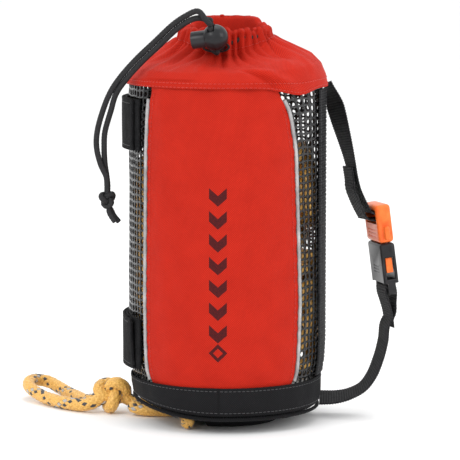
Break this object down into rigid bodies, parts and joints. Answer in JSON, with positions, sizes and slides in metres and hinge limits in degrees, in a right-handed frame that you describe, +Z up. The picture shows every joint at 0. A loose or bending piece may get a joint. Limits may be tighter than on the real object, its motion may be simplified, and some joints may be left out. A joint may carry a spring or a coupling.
{
  "type": "throw rope bag",
  "caption": "Drawstring rescue rope bag: red front panel, black netting sides, black base, cord lock, belt straps and a side carry strap with a release buckle.",
  "frame": {"origin": "centre of the flat of the base, on the ground, on the axis of the bag", "axes": "+Z up along the bag, -Y out of the front panel, +X towards the carry strap"},
  "size_m": [0.2818, 0.1549, 0.2983],
  "materials": {
    "red_cloth": "satin coated pack cloth",
    "black_cloth": "matt coated pack cloth",
    "netting": "vinyl-coated netting",
    "webbing": "ribbed webbing",
    "hook_loop": "hook-and-loop webbing",
    "piping": "reflective tape",
    "rope": "braided rope",
    "drawcord": "braided cord",
    "foam": "closed-cell foam",
    "black_plastic": "moulded",
    "orange_plastic": "moulded",
    "metal": "plated"
  },
  "bodies": {
    "bag": {"base_bottom": "black_cloth", "base_band": "black_cloth", "base_welt": "black_cloth", "bottom_grommet": "metal", "grommet_washer": "metal", "float_foam": "foam", "front_panel": "red_cloth", "netting_left": "netting", "netting_right": "netting", "piping_left": "piping", "piping_right": "piping", "side_webbing": "webbing", "belt_strap_upper": "hook_loop", "belt_strap_lower": "hook_loop", "rope_bundle": "rope", "rope_lead": "rope", "rope_tail": "rope", "rope_knot": "rope", "rope_loop": "rope", "collar": "red_cloth", "cord_exit_plate": "black_plastic", "cord_lock_body": "black_plastic", "cord_lock_spring": "metal", "drawcord_ring": "drawcord", "drawcord_tail_left": "drawcord", "drawcord_tail_right": "drawcord", "drawcord_knot": "drawcord", "drawcord_end_left": "drawcord", "drawcord_end_right": "drawcord", "buckle_female": "black_plastic", "strap_upper": "webbing", "strap_lower": "webbing"},
    "buckle_plug": {"buckle_male": "orange_plastic"},
    "prong_left": {"prong_left": "orange_plastic"},
    "prong_right": {"prong_right": "orange_plastic"},
    "lock_button": {"cord_lock_button": "black_plastic"},
    "flap_upper": {"belt_flap_upper": "hook_loop"},
    "flap_lower": {"belt_flap_lower": "hook_loop"}
  },
  "joints": [
    {"name": "buckle_release", "type": "slide", "parent": "bag", "child": "buckle_plug", "axis": [-0.126, 0, 0.992], "range_m": [0, 0.028], "deforming": ["strap_upper", "prong_left", "prong_right"]},
    {"name": "prong_left_squeeze", "type": "hinge", "parent": "buckle_plug", "child": "prong_left", "pos_m": [0.1083, 0.01976, 0.12783], "axis": [-0.9494, -0.29, -0.1206], "range_deg": [0, 6]},
    {"name": "prong_right_squeeze", "type": "hinge", "parent": "buckle_plug", "child": "prong_right", "pos_m": [0.11417, 0.00024, 0.12857], "axis": [0.9494, 0.29, 0.1206], "range_deg": [0, 6]},
    {"name": "cord_lock_press", "type": "slide", "parent": "bag", "child": "lock_button", "axis": [0.9763, -0.1632, 0.1419], "range_m": [0, 0.0016], "deforming": ["cord_lock_spring"]},
    {"name": "belt_flap_upper_peel", "type": "hinge", "parent": "bag", "child": "flap_upper", "pos_m": [-0.0595, 0.04323, 0.2157], "axis": [0, 0, -1], "range_deg": [0, 100]},
    {"name": "belt_flap_lower_peel", "type": "hinge", "parent": "bag", "child": "flap_lower", "pos_m": [-0.0595, 0.04323, 0.0598], "axis": [0, 0, -1], "range_deg": [0, 100]}
  ]
}
